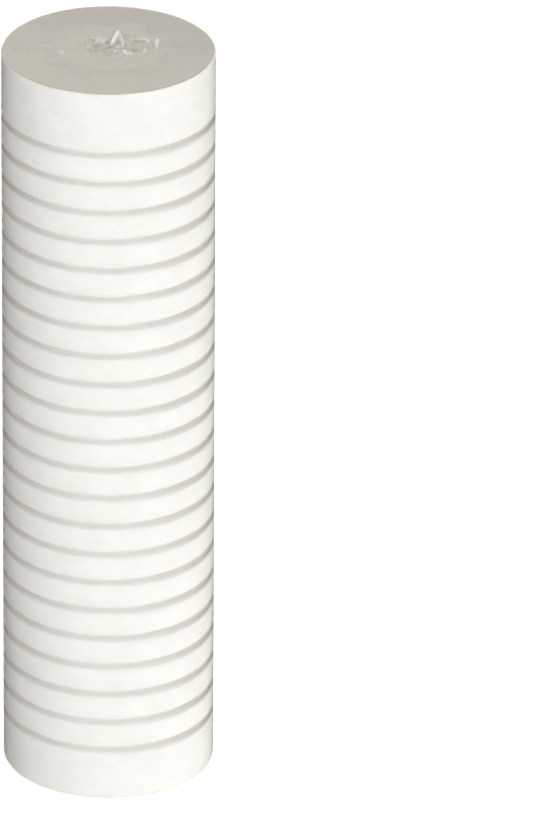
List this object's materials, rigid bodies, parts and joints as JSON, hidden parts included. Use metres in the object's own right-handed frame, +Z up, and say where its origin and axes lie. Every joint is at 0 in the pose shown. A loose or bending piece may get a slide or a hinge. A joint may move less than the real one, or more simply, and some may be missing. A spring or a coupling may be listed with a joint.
{
  "type": "sediment filter cartridge",
  "caption": "White depth-filter cartridge with grooves round it and an open bore, shrink-wrapped in clear film. It drops into a water filter housing and strains out sediment.",
  "frame": {"origin": "centre of the lowest face of the wrap, on the cartridge's axis", "axes": "+Z up the cartridge's axis, towards the end where the wrap is shut; X and Y are free, because the cartridge is round"},
  "size_m": [0.068, 0.068, 0.2489],
  "materials": {
    "core": "satin",
    "scrim": "matte",
    "fine_media": "matte",
    "medium_media": "matte",
    "coarse_media": "matte",
    "outer_media": "matte",
    "end_seal": "matte",
    "wrap": "gloss"
  },
  "bodies": {
    "root": {"core_tube": "core", "core_scrim": "scrim", "fine_layer": "fine_media", "medium_layer": "medium_media", "coarse_layer": "coarse_media", "outer_grooved_layer": "outer_media", "lower_end_seal": "end_seal", "upper_end_seal": "end_seal", "shrink_wrap": "wrap"}
  },
  "joints": []
}
